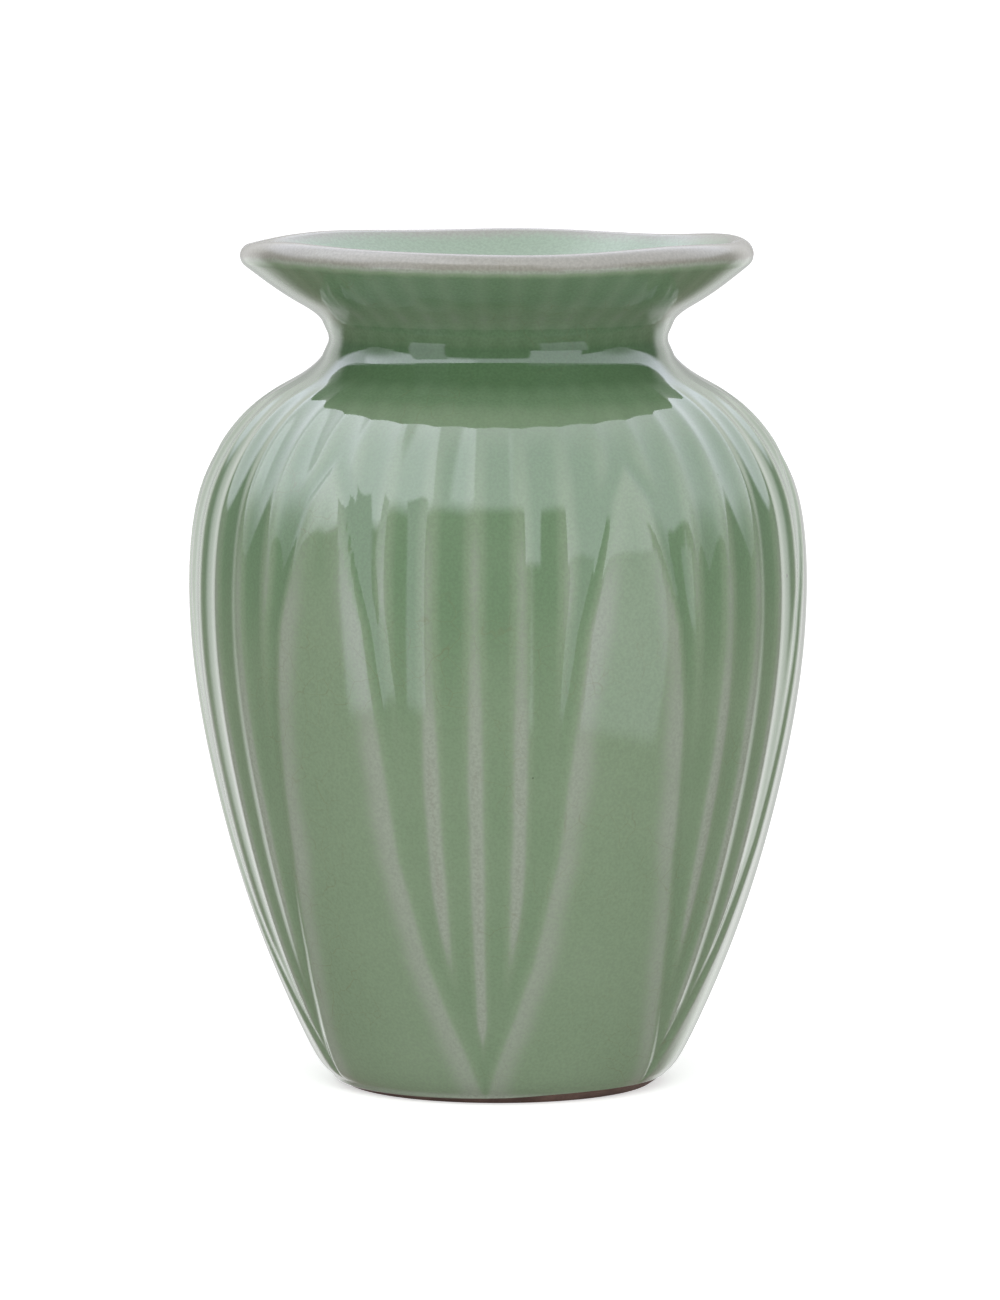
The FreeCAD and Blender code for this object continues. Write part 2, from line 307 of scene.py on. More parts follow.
class Form:
    """The vase's surfaces, worked out from the sizes. Rows are (radius, height, out, up)."""

    def __init__(self, sizes, carving, coat):
        self.s, self.c, self.g = sizes, carving, coat
        self.glaze_line = sizes.bevel_height
        self.belly = self.glaze_line + sizes.belly_rise
        self.neck = self.belly + sizes.shoulder_rise
        self.lip = self.neck + sizes.flare_rise
        self.floor = sizes.recess_depth + sizes.base_thickness
        self.half_leaf = math.pi / carving.leaves
        self.pitch = 2.0 * math.pi / (carving.leaves * carving.ridges)
        self.columns = COLUMNS_PER_RIDGE * carving.leaves * carving.ridges

    def arc(self, start, end, count):
        """Rows round the lip between two directions."""
        turn = np.linspace(start, end, count + 1)
        s = self.s
        return np.stack([s.mouth_radius + s.lip_round * np.cos(turn),
                         self.lip + s.lip_round * np.sin(turn), np.cos(turn), np.sin(turn)], 1)

    def outside(self):
        """Rows of the glazed outside, from the edge of the glaze to the crest of the lip."""
        s = self.s

        def stretch(start, end, shares):
            return [(start[0] + (end[0] - start[0]) * reach, start[1] + (end[1] - start[1]) * rise)
                    for rise, reach in shares]

        foot = (s.foot_radius + s.bevel_reach, self.glaze_line)
        belly, neck = (s.belly_radius, self.belly), (s.neck_radius, self.neck)
        lip = (s.mouth_radius + s.lip_round * math.sin(s.flare_slope),
               self.lip - s.lip_round * math.cos(s.flare_slope))
        route = ([foot] + stretch(foot, belly, BELLY_CURVE) + [belly]
                 + stretch(belly, neck, SHOULDER_CURVE) + [neck]
                 + stretch(neck, lip, FLARE_CURVE) + [lip])
        places, along = spline(route, BODY_ROWS)
        body = np.column_stack([places, along[:, 1], -along[:, 0]])
        lip_rows = self.arc(s.flare_slope - math.pi / 2, math.pi / 2, LIP_ROWS)
        return np.vstack([body[:-1], lip_rows])

    def bevel(self, count):
        """Rows of the bevel under the glaze, set out by a thin coat, from the table up."""
        s, thin = self.s, self.g.thin
        slant = math.hypot(s.bevel_height, s.bevel_reach)
        out, up = s.bevel_height / slant, -s.bevel_reach / slant
        share = np.linspace(0.0, 1.0 - thin / slant, count)[:, None]
        start = np.array([s.foot_radius + thin * out, thin * up])
        way = np.array([s.bevel_reach, s.bevel_height])
        return np.hstack([start + share * way, np.full((count, 2), (out, up))])

    def inside(self, outside):
        """Rows of the glazed inside, from the crest of the lip down to the floor."""
        s = self.s
        rows = [self.arc(math.pi / 2, math.pi / 2 + s.flare_slope, LIP_ROWS // 2)]
        wall = s.wall + (2.0 * s.lip_round - s.wall) * smooth(
            (outside[:, 1] - self.neck) / s.flare_rise)
        offset = np.column_stack([outside[:, 0] - wall * outside[:, 2],
                                  outside[:, 1] - wall * outside[:, 3], -outside[:, 2:]])
        keep = offset[:BODY_ROWS - 2][::-1]
        corner_height = self.floor + s.floor_corner
        rows.append(keep[keep[:, 1] > corner_height])
        corner_radius = rows[-1][-1, 0] - s.floor_corner
        lean = math.atan2(rows[-1][-1, 3], -rows[-1][-1, 2])
        turn = np.linspace(lean, math.pi / 2, 10)[1:]
        rows.append(np.column_stack([corner_radius + s.floor_corner * np.cos(turn),
                                     corner_height - s.floor_corner * np.sin(turn),
                                     -np.cos(turn), np.sin(turn)]))
        reach = np.linspace(corner_radius, FLOOR_HOLE, 10)[1:]
        rows.append(np.column_stack([reach, self.floor + 0.0 * reach, 0.0 * reach,
                                     1.0 + 0.0 * reach]))
        return np.vstack(rows)

    def inner_coat(self, radius, height, azimuth):
        """Thickness of the glaze inside: thin at the lip, and full from the neck down."""
        thinned = smooth((height - self.neck) / self.s.flare_rise)
        return self.g.inner + (self.g.thin - self.g.inner) * thinned

    def border(self, height):
        """Half the width of a leaf at a height, in radians."""
        rises, widths = np.array(LEAF_BORDER).T
        return self.half_leaf * np.interp((height - self.glaze_line) / self.c.leaf_rise,
                                          rises, widths)

    def leaf_place(self, radius, height, azimuth):
        """Distance inside the leaf's border, and share of a pitch from the nearest ridge."""
        c = self.c
        from_leaf = (azimuth + self.half_leaf) % (2.0 * self.half_leaf) - self.half_leaf
        inside = (self.border(height) - np.abs(from_leaf)) * radius
        spread = np.minimum(1.0, c.gather + (1.0 - c.gather) * height / c.gather_rise)
        return inside, np.abs((from_leaf / (self.pitch * spread) + 0.5) % 1.0 - 0.5)

    def carving(self, radius, height, azimuth):
        """Depth of the carving in the clay."""
        c = self.c
        inside, from_ridge = self.leaf_place(radius, height, azimuth)
        top = 1.0 - smooth((height - (self.neck - c.top_drop - c.runout)) / c.runout)
        tip = smooth((height - self.glaze_line) / c.tip_runout)
        hollow = c.panel_hollow * smooth(-inside / c.hollow_reach) * tip
        blunt = (0.5 - np.hypot(from_ridge, RIDGE_BLUNT)) / (0.5 - RIDGE_BLUNT)
        ridge = blunt ** 2 * smooth((inside - c.ridge_stop) / c.ridge_taper)
        flutes = c.depth * (1.0 - ridge) * smooth(inside / c.cut_width) * top * tip
        return np.where(inside <= 0.0, hollow, flutes)

    def bend(self, height, azimuth):
        """How far the hand-made rim gives at a place, outward and up."""
        amount = np.maximum(0.0, (height - self.neck) / self.s.flare_rise) ** 2
        lift = RIM_LIFT + sum(size * np.cos(waves * (azimuth - math.radians(crest)))
                              for waves, size, crest in RIM_WAVES)
        return RIM_BEND[0] * lift * amount, RIM_BEND[1] * lift * amount

    def grid(self, rows, depth=lambda *at: 0.0, columns=None):
        """Places of a skin, depth(radius, height, azimuth) under the rows: rows x columns x 3."""
        azimuth = around(columns or self.columns)
        radius, height, out, up = spread_rows(rows)
        return self.place(radius, height, out, up, depth(radius, height, azimuth), azimuth)

    def place(self, radius, height, out, up, cut, azimuth):
        """Places under the surface by a cut, with the rim's bend."""
        outward, lift = self.bend(height, azimuth)
        r = radius - cut * out + outward
        z = height - cut * up + lift + 0.0 * azimuth
        return np.stack([r * np.sin(azimuth), -r * np.cos(azimuth), z], 2)


def form():
    """The form at the scene's present sizes."""
    scene = bpy.context.scene
    return Form(scene.vase_sizes, scene.vase_carving, scene.vase_glaze)


def facing(grid):
    """Direction out of a skin at each of its places."""
    across = np.roll(grid, -1, 1) - np.roll(grid, 1, 1)
    along = np.gradient(grid, axis=0)
    found = np.cross(across, along)
    return found / np.linalg.norm(found, axis=2)[:, :, None]


def skin_mesh(name, grid, normals, closed=False, caps=()):
    """A mesh from a grid of rows round the axis, with the normals that it's shaded by. closed
    joins its last row to its first; otherwise its two caps are points on the axis, given by
    their heights, the first facing down and the last up."""
    rows, columns = grid.shape[:2]
    index = np.arange(rows * columns).reshape(rows, columns)
    upper = np.vstack([index[1:], index[:1]]) if closed else index[1:]
    lower = index if closed else index[:-1]
    quads = np.stack([lower, np.roll(lower, -1, 1), np.roll(upper, -1, 1), upper], 2)
    faces = quads.reshape(-1, 4).tolist()
    points, normals = grid.reshape(-1, 3), normals.reshape(-1, 3)
    for row, height, up in zip((index[0][::-1], index[-1]), caps, (-1.0, 1.0)):
        cap = len(points)
        faces += [(int(a), int(b), cap) for a, b in zip(row, np.roll(row, -1))]
        points = np.vstack([points, (0.0, 0.0, height)])
        normals = np.vstack([normals, (0.0, 0.0, up)])
    mesh = bpy.data.meshes.new(name)
    mesh.from_pydata(points.tolist(), [], faces)
    mesh.shade_smooth()
    mesh.normals_split_custom_set_from_vertices(normals.tolist())
    return mesh


def add_object(name, data):
    """Puts a mesh, a light or a camera in the scene."""
    made = bpy.data.objects.new(name, data)
    bpy.context.scene.collection.objects.link(made)
    return made


def add_piece(name, mesh, material, slot, *nodes):
    """Puts a piece in the scene in place of CAD nodes, with its material; its slot is not used."""
    piece = add_object(name, mesh)
    mesh.materials.append(material)
    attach(piece, "root")
    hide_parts(*nodes)
    return piece


def store(mesh, name, values):
    """Keeps one number for each vertex of a mesh under a name."""
    layer = mesh.attributes.new(name, "FLOAT", "POINT")
    layer.data.foreach_set("value", np.asarray(values, np.float32).ravel())


# --- Materials ---

DEEP_GLAZE_AND_SHADE = (0.05, 0.11, 0.045)         # celadon more than a millimetre thick; mostly reached where painted shade round the neck is added
CRAZE_STAIN = (0.15, 0.115, 0.055)       # brown that has seeped into the glaze's fine cracks
BURNT_GRIT = (0.015, 0.010, 0.008)
TURNING_PITCH = 0.0009                   # between the turning lines on the bare clay, in metres

# What an effect's inputs and outputs carry, where that isn't a plain number.
CARRIES = {"Place": "NodeSocketVector"} | dict.fromkeys(
    ("Lip", "Ridge", "Panel", "Flute", "Colour"), "NodeSocketColor")


class Nodes:
    """Short ways to add and join nodes in one tree."""

    def __init__(self, tree):
        self.tree = tree

    def add(self, kind, **settings):
        node = self.tree.nodes.new(kind)
        for key, value in settings.items():
            setattr(node, key, value)
        return node

    def link(self, source, target):
        self.tree.links.new(source, target)

    def feed(self, target, value):
        """Links a socket to an input, or sets the input to a plain value."""
        if isinstance(value, bpy.types.NodeSocket):
            self.link(value, target)
        elif target.type == "RGBA":
            target.default_value = (*value, 1.0)
        else:
            target.default_value = value

    def maths(self, operation, first, second=0.0, clamp=False):
        node = self.add("ShaderNodeMath", operation=operation, use_clamp=clamp)
        self.feed(node.inputs[0], first)
        self.feed(node.inputs[1], second)
        return node.outputs[0]

    def mix(self, amount, first, second, blend="MIX"):
        node = self.add("ShaderNodeMix", data_type="RGBA", blend_type=blend)
        self.feed(node.inputs[0], amount)
        self.feed(node.inputs[6], first)
        self.feed(node.inputs[7], second)
        return node.outputs[2]

    def ease(self, value, low, high, bottom=0.0, top=1.0):
        """An easy step from bottom to top as value goes from low to high."""
        node = self.add("ShaderNodeMapRange", interpolation_type="SMOOTHSTEP")
        for target, number in zip(node.inputs, (value, low, high, bottom, top)):
            self.feed(target, number)
        return node.outputs[0]

    def noise(self, place, scale, detail=2.0, roughness=0.5):
        node = self.add("ShaderNodeTexNoise")
        self.link(place, node.inputs["Vector"])
        self.feed(node.inputs["Scale"], scale)
        node.inputs["Detail"].default_value = detail
        node.inputs["Roughness"].default_value = roughness
        return node.outputs["Fac"]

    def cells(self, place, scale, feature="F1"):
        node = self.add("ShaderNodeTexVoronoi", feature=feature)
        self.link(place, node.inputs["Vector"])
        self.feed(node.inputs["Scale"], scale)
        return node

    def place(self):
        """Where a point is on the vase, in metres."""
        return self.add("ShaderNodeTexCoord").outputs["Object"]

    def parts(self, kind, source):
        """The three parts of a colour or of a vector."""
        node = self.add(kind)
        self.link(source, node.inputs[0])
        return node.outputs

    def roughen(self, shader, height, strength, distance):
        """Bumps a shader's surface by a height."""
        node = self.add("ShaderNodeBump")
        node.inputs["Strength"].default_value = strength
        node.inputs["Distance"].default_value = distance
        self.link(height, node.inputs["Height"])
        self.link(node.outputs[0], shader.inputs["Normal"])


def effect(name, inputs, outputs, build):
    """A shader node group with named inputs and outputs, built once. Whoever places it feeds
    all its inputs."""
    if name in bpy.data.node_groups:
        return bpy.data.node_groups[name]
    tree = bpy.data.node_groups.new(name, "ShaderNodeTree")
    for way, labels in (("INPUT", inputs), ("OUTPUT", outputs)):
        for label in labels:
            kind = CARRIES.get(label, "NodeSocketFloat")
            tree.interface.new_socket(name=label, in_out=way, socket_type=kind)
    nodes = Nodes(tree)
    ins, outs = nodes.add("NodeGroupInput").outputs, nodes.add("NodeGroupOutput").inputs
    build(nodes, ins, outs)
    return tree


def glaze_depth_colour():
    """Colour of celadon by its thickness in millimetres, mottled a little. Outside, the thickness
    also carries painted shade round the neck.
    """
    def build(n, ins, outs):
        cloud = n.noise(ins["Place"], 45.0, 3.0)
        grain = n.noise(ins["Place"], 1700.0, 2.0)
        cloudy = n.maths("MULTIPLY", n.maths("SUBTRACT", cloud, 0.5), ins["Mottle"])
        grainy = n.maths("MULTIPLY", n.maths("SUBTRACT", grain, 0.5), ins["Grain"])
        drift = n.maths("ADD", cloudy, grainy)
        depth = n.maths("ADD", ins["Depth"], drift)
        first = n.mix(n.ease(depth, 0.10, 0.36), ins["Lip"], ins["Ridge"])
        second = n.mix(n.ease(depth, 0.36, 0.62), first, ins["Panel"])
        third = n.mix(n.ease(depth, 0.58, 1.0), second, ins["Flute"])
        deep = n.mix(n.ease(depth, 1.0, 1.8, 0.0, 0.62), third, DEEP_GLAZE_AND_SHADE)
        shade = n.ease(grain, 0.25, 0.75, 0.90, 1.08)
        n.link(n.mix(1.0, deep, shade, "MULTIPLY"), outs["Colour"])
    return effect("Glaze Depth Colour",
                  ("Place", "Depth", "Mottle", "Grain", "Lip", "Ridge", "Panel", "Flute"),
                  ("Colour",), build)


def iron_specks():
    """Sparse small specks: 1 in a speck and 0 between."""
    def build(n, ins, outs):
        cell = n.cells(ins["Place"], ins["Scale"])
        chance = n.parts("ShaderNodeSeparateColor", cell.outputs["Color"])
        chosen = n.maths("LESS_THAN", chance[0], ins["Share"])
        size = n.maths("MULTIPLY", chance[1], ins["Size"])
        dot = n.maths("SUBTRACT", 1.0, n.maths("DIVIDE", cell.outputs["Distance"],
                                               n.maths("ADD", size, 0.02)), True)
        n.link(n.maths("MULTIPLY", chosen, n.ease(dot, 0.0, 0.7)), outs["Mask"])
    return effect("Iron Specks", ("Place", "Scale", "Share", "Size"), ("Mask",), build)


def crackle():
    """Fine lines of a crazed glaze: 1 on a line and 0 between."""
    def build(n, ins, outs):
        warp = n.add("ShaderNodeTexNoise")
        n.link(ins["Place"], warp.inputs["Vector"])
        warp.inputs["Scale"].default_value = 140.0
        moved = n.add("ShaderNodeVectorMath", operation="MULTIPLY_ADD")
        n.link(warp.outputs["Color"], moved.inputs[0])
        moved.inputs[1].default_value = (0.004, 0.004, 0.004)
        n.link(ins["Place"], moved.inputs[2])
        edge = n.cells(moved.outputs[0], ins["Scale"], "DISTANCE_TO_EDGE")
        line = n.maths("SUBTRACT", 1.0, n.ease(edge.outputs["Distance"], 0.0, ins["Width"]))
        broken = n.ease(n.noise(ins["Place"], 42.0), 0.50, 0.66)
        n.link(n.maths("MULTIPLY", line, broken), outs["Mask"])
    return effect("Glaze Crackle", ("Place", "Scale", "Width"), ("Mask",), build)


def glaze_surface():
    """Height of a fired glaze's surface: slow undulation, orange peel and pinholes."""
    def build(n, ins, outs):
        slow = n.noise(ins["Place"], 70.0, 1.0)
        peel = n.noise(ins["Place"], ins["Peel Scale"], 2.0)
        cell = n.cells(ins["Place"], 520.0)
        chance = n.parts("ShaderNodeSeparateColor", cell.outputs["Color"])
        chosen = n.maths("LESS_THAN", chance[0], ins["Pinholes"])
        hole = n.maths("SUBTRACT", 1.0, n.ease(cell.outputs["Distance"], 0.02, 0.14))
        pits = n.maths("MULTIPLY", chosen, hole)
        height = n.maths("ADD", slow, n.maths("MULTIPLY", peel, 0.10))
        n.link(n.maths("SUBTRACT", height, n.maths("MULTIPLY", pits, 0.7)), outs["Height"])
        n.link(pits, outs["Pits"])
    return effect("Glaze Surface", ("Place", "Peel Scale", "Pinholes"), ("Height", "Pits"),
                  build)


def sky_panel():
    """A bright panel in the surround, between two limits each way: 1 in it and 0 outside."""
    def build(n, ins, outs):
        parts = []
        for value, low, high in (("Across", "Left", "Right"), ("Along", "Low", "High")):
            for limit, sign in ((low, 1.0), (high, -1.0)):
                past = n.maths("MULTIPLY", n.maths("SUBTRACT", ins[value], ins[limit]), sign)
                parts.append(n.ease(n.maths("DIVIDE", past, ins["Soft"]), -0.5, 0.5))
        wide = n.maths("MULTIPLY", parts[0], parts[1])
        tall = n.maths("MULTIPLY", parts[2], parts[3])
        n.link(n.maths("MULTIPLY", wide, tall), outs["Mask"])
    return effect("Sky Panel", ("Across", "Along", "Left", "Right", "Low", "High", "Soft"),
                  ("Mask",), build)


def grouped(nodes, group, **inputs):
    """Places an effect in a material with its own values."""
    node = nodes.add("ShaderNodeGroup", node_tree=group)
    for name, value in inputs.items():
        nodes.feed(node.inputs[name.replace("_", " ")], value)
    return node.outputs


def new_material(name):
    """An empty material with a Principled shader: (material, nodes, shader)."""
    material = bpy.data.materials.new(name)
    material.use_nodes = True
    tree = material.node_tree
    shader = tree.nodes["Principled BSDF"]
    return material, Nodes(tree), shader


def celadon(name, inside=False):
    """Glossy celadon whose colour follows the stored depth of the glaze, which on the outside coat
    also holds painted shade round the neck.
    """
    coat = bpy.context.scene.vase_glaze
    material, n, shader = new_material(name)
    place = n.place()
    depth = n.add("ShaderNodeAttribute", attribute_name="glaze_depth_and_shade").outputs["Fac"]
    even = coat.inside_colour if inside else None
    tint = grouped(n, glaze_depth_colour(), Place=place, Depth=depth, Mottle=0.22,
                   Grain=0.18, Lip=coat.lip_colour, Ridge=even or coat.ridge_colour,
                   Panel=even or coat.panel_colour, Flute=coat.flute_colour)["Colour"]
    lines = grouped(n, crackle(), Place=place, Scale=190.0, Width=0.018)["Mask"]
    specks = grouped(n, iron_specks(), Place=place, Scale=260.0, Share=0.012, Size=0.16)["Mask"]
    surface = grouped(n, glaze_surface(), Place=place, Peel_Scale=900.0, Pinholes=0.012)
    crazed = n.mix(n.maths("MULTIPLY", lines, 0.24), tint, CRAZE_STAIN)
    speckled = n.mix(n.maths("MULTIPLY", specks, 0.8), crazed, coat.speck_colour)
    n.link(speckled, shader.inputs["Base Color"])
    haze = n.noise(place, 55.0, 3.0)
    rough = n.maths("ADD", n.maths("MULTIPLY", haze, 0.05),
                    n.maths("MULTIPLY", surface["Pits"], 0.3))
    satin = n.ease(depth, 0.12, 0.30, 0.22, 0.24 if inside else 0.02)
    n.link(n.maths("ADD", rough, satin), shader.inputs["Roughness"])
    shader.inputs["IOR"].default_value = 1.5
    n.roughen(shader, surface["Height"], 0.35, 0.00012)
    return material


def stoneware():
    """Bare iron-bearing clay: matt, gritty, with faint turning lines."""
    clay = bpy.context.scene.vase_clay
    material, n, shader = new_material("bare_stoneware")
    place = n.place()
    patches = n.noise(place, 90.0, 4.0, 0.6)
    flecks = n.noise(place, 1500.0, 2.0)
    tone = n.maths("ADD", n.ease(patches, 0.35, 0.7, 0.0, 0.8),
                   n.ease(flecks, 0.5, 0.8, 0.0, 0.5), True)
    specks = grouped(n, iron_specks(), Place=place, Scale=900.0, Share=0.10, Size=0.35)["Mask"]
    body = n.mix(tone, clay.dark, clay.light)
    n.link(n.mix(n.maths("MULTIPLY", specks, 0.7), body, BURNT_GRIT), shader.inputs["Base Color"])
    n.link(n.ease(patches, 0.2, 0.8, 0.62, 0.88), shader.inputs["Roughness"])
    x, y, z = n.parts("ShaderNodeSeparateXYZ", place)
    reach = n.maths("SQRT", n.maths("ADD", n.maths("POWER", x, 2.0), n.maths("POWER", y, 2.0)))
    turning = n.maths("SINE", n.maths("MULTIPLY", n.maths("ADD", reach, z),
                                      2.0 * math.pi / TURNING_PITCH))
    grit = n.noise(place, 1.0 / clay.grit, 3.0, 0.7)
    n.roughen(shader, n.maths("ADD", grit, n.maths("MULTIPLY", turning, 0.12)), 0.8, 0.00015)
    return material


# --- Operators: one for each piece, and one for the stage ---

def stepped(value, steps):
    """The sum of easy steps, each as (change, where it starts, the distance that it takes)."""
    return sum(change * smooth((value - start) / reach) for change, start, reach in steps)


def glaze_depth_and_shade(form, radius, height, azimuth):
    """How deep the colour of the outside coat looks, in millimetres of glaze, with painted shade
    under the flare added round the neck.
    """
    inside, from_ridge = form.leaf_place(radius, height, azimuth)
    c = form.c
    rise = height - form.glaze_line
    flute = FLUTE_LOOK + stepped(rise, FLUTE_STEPS)
    crest = CREST_LOOK + stepped(rise, CREST_STEPS)
    ridge = 1.0 - smooth((from_ridge - CREST_WIDTH) / CREST_FADE)
    ridge = ridge * smooth((inside - c.ridge_stop) / c.ridge_taper)
    leaf = flute + (crest - flute) * ridge
    panel = PANEL_LOOK + stepped(-inside, PANEL_INWARD) + stepped(rise, PANEL_STEPS)
    depth = panel + (leaf - panel) * smooth((inside + CUT_PALE) / (c.cut_width * CUT_SHARE))
    above = smooth((height - (form.neck - c.top_drop - c.runout)) / c.runout)
    stripe = 1.0 - smooth(from_ridge / STRIPE_REACH)
    upper = UPPER_LOOK + stepped(height - form.neck, FLARE_STEPS) - STRIPE_LOOK * stripe
    # painted shade under the flare: a band round the neck coloured as deep glaze, though the coat
    # there is thin
    neck_shade = NECK_SHADE * np.exp(-((height - form.neck + NECK_SHADE_DROP) / NECK_SHADE_REACH) ** 2)
    depth = depth + (upper - depth) * above + neck_shade
    lip_round = form.s.lip_round
    lip = smooth((height - form.lip) / lip_round + LIP_PALE_DROP)
    edge = 1.0 - smooth(rise / EDGE_PALE_REACH)
    return depth * (1.0 - lip) + LIP_LOOK * lip - EDGE_PALE * edge * depth


class VASE_OT_stoneware(bpy.types.Operator):
    """The fired clay: foot ring, recess, wall and floor, bare only at the foot"""
    bl_idname = "vase.stoneware"
    bl_label = "Stoneware Body"

    def execute(self, context):
        shape = form()
        s, coat = shape.s, shape.g
        ring_inner = s.foot_radius - s.foot_ring_width
        recess = ring_inner - s.recess_flare
        under = np.array([(reach, s.recess_depth) for reach in
                          np.linspace(FLOOR_HOLE, recess - FOOT_ROUND, 8)]
                         + self.corner((recess, s.recess_depth), (-1, 0), (0.2, -1))
                         + self.corner((ring_inner, 0.0), (-0.2, 1), (1, 0))
                         + self.corner((s.foot_radius, 0.0), (-1, 0), (0.8, 0.6)))
        bevel = shape.bevel(8)[1:]
        bevel = bevel[:, :2] - coat.thin * bevel[:, 2:]
        under = np.vstack([under, bevel[bevel[:, 0] > under[-1, 0]]])
        outside = shape.outside()
        inside = shape.inside(outside)
        lower = shape.grid(np.hstack([under, np.zeros_like(under)]))
        outer = shape.grid(outside[::2], lambda *at: coat.thin + shape.carving(*at))
        inner = shape.grid(inside[1::2], shape.inner_coat)
        grid = np.vstack([lower, outer, inner])
        mesh = skin_mesh("stoneware_body", grid, facing(grid),
                         caps=(s.recess_depth, shape.floor - coat.inner))
        add_piece("stoneware_body", mesh, stoneware(), "stoneware", "clay_body")
        return {"FINISHED"}

    def corner(self, place, before, after, steps=4):
        """Points round a rounded corner, between two directions that lead away from it."""
        ends = [np.array(way) / np.linalg.norm(way) * FOOT_ROUND for way in (before, after)]
        place = np.array(place)
        return [tuple(place + (1 - t) ** 2 * ends[0] + t ** 2 * ends[1])
                for t in np.linspace(0.0, 1.0, steps + 1)]


class VASE_OT_outer_glaze(bpy.types.Operator):
    """The celadon coat outside, from its rolled lower edge to the crest of the lip"""
    bl_idname = "vase.outer_glaze"
    bl_label = "Outer Glaze"

    def execute(self, context):
        shape = form()
        rows = shape.outside()
        past_crest = shape.arc(math.pi / 2, math.pi / 2 + 0.2, 1)[1:]
        body = np.vstack([rows[EDGE_JOIN:], past_crest])
        azimuth = around(shape.columns)
        edge_rows, from_edge = self.edge(shape, rows, azimuth)
        radius, height, out, up = (np.vstack([edge, plain + 0.0 * azimuth])
                                   for edge, plain in zip(edge_rows, spread_rows(body)))
        carved = shape.carving(radius, height, azimuth)
        thinned = np.zeros_like(carved)
        thinned[:EDGE_ROWS] = self.roll(shape.g.thin, from_edge)
        surface = (1.0 - shape.g.pooled) * carved + thinned
        front = shape.place(radius, height, out, up, surface, azimuth)
        normals = facing(front)[:-1]
        back = shape.place(radius, height, out, up, shape.g.thin + carved, azimuth)[:-1]
        depth = glaze_depth_and_shade(shape, radius, height, azimuth)[:-1]
        hidden = slice(-1, 0, -HIDDEN_STEP)
        mesh = skin_mesh("outer_glaze_coat", np.vstack([front[:-1], back[hidden]]),
                         np.vstack([normals, -normals[hidden]]), closed=True)
        store(mesh, "glaze_depth_and_shade", np.vstack([depth, depth[hidden]]))
        add_piece("outer_glaze_coat", mesh, celadon("celadon_outside"), "celadon_outside",
                  "outer_glaze")
        return {"FINISHED"}

    def reach(self, coat, azimuth):
        """Distance down the bevel from its top to the edge of the glaze, round the foot."""
        dip = (0.5 - 0.5 * np.cos(azimuth - LINE_HIGH_SIDE)
               + LINE_RIPPLE * np.cos(3.0 * azimuth + LINE_RIPPLE_TURN))
        dip = np.clip(dip, 0.0, 1.0)
        return coat.line_waver * dip - coat.line_rise * (1.0 - dip) + EDGE_ROUND

    def edge(self, shape, rows, azimuth):
        """Rows from the edge of the glaze to the body's first kept row, and how far on each is."""
        bevel = shape.bevel(BEVEL_ROWS)
        base = np.vstack([bevel, rows[:EDGE_JOIN + 1]])
        steps = np.linalg.norm(np.diff(base[:, :2], axis=0), axis=1)
        along = np.concatenate([[0.0], np.cumsum(steps)])
        start = along[BEVEL_ROWS - 1] - self.reach(shape.g, azimuth)
        share = (np.arange(EDGE_ROWS) / EDGE_ROWS)[:, None] ** EDGE_CROWDING
        from_edge = share * (along[-1] - start)
        return [np.interp(start + from_edge, along, base[:, k]) for k in range(4)], from_edge

    def roll(self, thin, from_edge):
        """How far the glaze's edge lies under or over a plain thin coat."""
        round_in = 1.0 - np.minimum(1.0, from_edge / EDGE_ROUND)
        bead = EDGE_BEAD * np.exp(-(from_edge / EDGE_BEAD_REACH) ** 2)
        return thin - (thin + bead) * np.sqrt(1.0 - round_in ** 2)


class VASE_OT_inner_glaze(bpy.types.Operator):
    """The celadon coat inside, from the crest of the lip over the floor"""
    bl_idname = "vase.inner_glaze"
    bl_label = "Inner Glaze"

    def execute(self, context):
        shape = form()
        before_crest = shape.arc(math.pi / 2 - 0.2, math.pi / 2, 1)[:1]
        inside = shape.inside(shape.outside())
        rows = np.vstack([before_crest, inside[:LIP_ROWS], inside[LIP_ROWS::2]])
        front = shape.grid(rows)
        normals = facing(front)[1:]
        back = shape.grid(rows, shape.inner_coat)[1:][::-HIDDEN_STEP]
        mesh = skin_mesh("inner_glaze_coat", np.vstack([back, front[1:]]),
                         np.vstack([-normals[::-HIDDEN_STEP], normals]),
                         caps=(shape.floor - shape.g.inner, shape.floor))
        height = rows[1:, 1]
        crest = (height - shape.lip) / shape.s.lip_round
        lip = smooth((crest - LIP_PALE_INSIDE) / (1.0 - LIP_PALE_INSIDE))
        depth = INSIDE_LOOK * (1.0 - lip) + LIP_LOOK * lip
        depth = np.repeat(depth[:, None], shape.columns, 1)
        depth = np.vstack([depth[::-HIDDEN_STEP], depth]).ravel()
        store(mesh, "glaze_depth_and_shade", np.append(depth, [INSIDE_LOOK, INSIDE_LOOK]))
        add_piece("inner_glaze_coat", mesh, celadon("celadon_inside", inside=True),
                  "celadon_inside", "inner_glaze")
        return {"FINISHED"}


